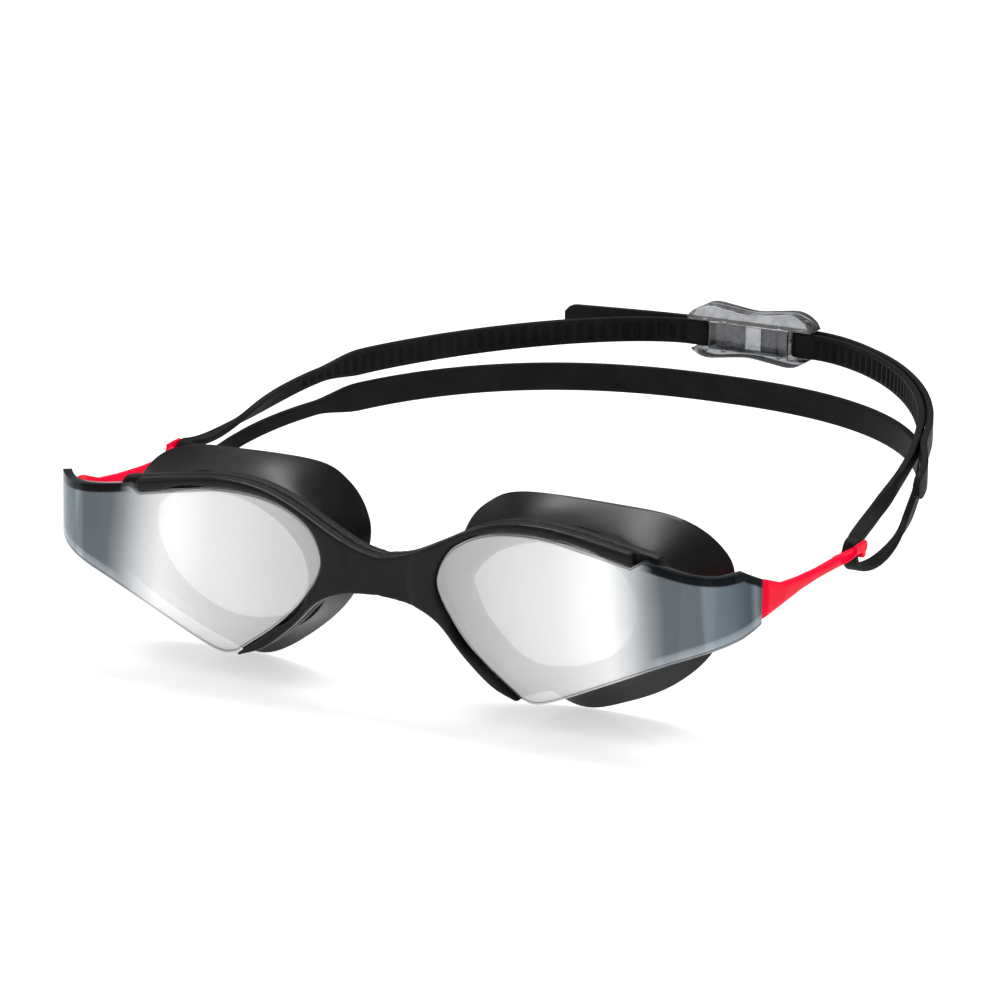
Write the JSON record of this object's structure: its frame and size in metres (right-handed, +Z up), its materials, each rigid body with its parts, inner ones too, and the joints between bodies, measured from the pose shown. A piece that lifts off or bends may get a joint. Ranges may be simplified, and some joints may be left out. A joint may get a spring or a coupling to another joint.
{
  "type": "swim goggles",
  "caption": "Swim goggles with wrap-round mirrored lenses, a one-piece frame, soft eye seals, side clips and a doubled strap with a quick-adjust clasp.",
  "frame": {"origin": "middle of the nose bridge's back face, where the wearer's face carries the goggles", "axes": "+X to the wearer's left, -Y forwards out of the lenses, +Z up"},
  "size_m": [0.172, 0.1987, 0.0483],
  "materials": {
    "lens": "polycarbonate with a silver flash-mirror coating, polished",
    "frame": "black moulded polymer, satin, finely sandblasted on the nose bridge",
    "seal": "soft black silicone, satin",
    "clip": "bright red nylon, smooth moulded",
    "strap": "black silicone, matt, ribbed inside",
    "clasp": "smoked clear polycarbonate, glossy"
  },
  "bodies": {
    "goggles": {"frame": "frame", "lens_left": "lens", "lens_right": "lens", "gasket_ring_left": "frame", "gasket_ring_right": "frame", "eye_seal_left": "seal", "eye_seal_right": "seal", "strap_clip_left": "clip", "strap_clip_right": "clip"},
    "lower_strap": {"lower_strap": "strap"},
    "upper_strap": {"upper_strap_left": "strap", "upper_strap_right": "strap", "clasp_body": "clasp"},
    "lever_left": {"release_lever_left": "clasp"},
    "lever_right": {"release_lever_right": "clasp"}
  },
  "joints": [
    {"name": "strap_swing", "type": "hinge", "parent": "goggles", "child": "lower_strap", "pos_m": [0, 0.0563, 0.0014], "axis": [1, 0, 0], "range_deg": [-55, 60]},
    {"name": "strap_spread", "type": "hinge", "parent": "lower_strap", "child": "upper_strap", "pos_m": [0, 0.0563, 0.0014], "axis": [1, 0, 0], "range_deg": [0, 40]},
    {"name": "lever_press_left", "type": "hinge", "parent": "upper_strap", "child": "lever_left", "pos_m": [0.0074, 0.1887, 0.0117], "axis": [0, 0, 1], "range_deg": [0, 12], "stiffness_Nm_per_rad": 0.01, "springref_deg": -5.73},
    {"name": "lever_press_right", "type": "hinge", "parent": "upper_strap", "child": "lever_right", "pos_m": [-0.0074, 0.1887, 0.0117], "axis": [0, 0, -1], "range_deg": [0, 12], "stiffness_Nm_per_rad": 0.01, "springref_deg": -5.73}
  ]
}
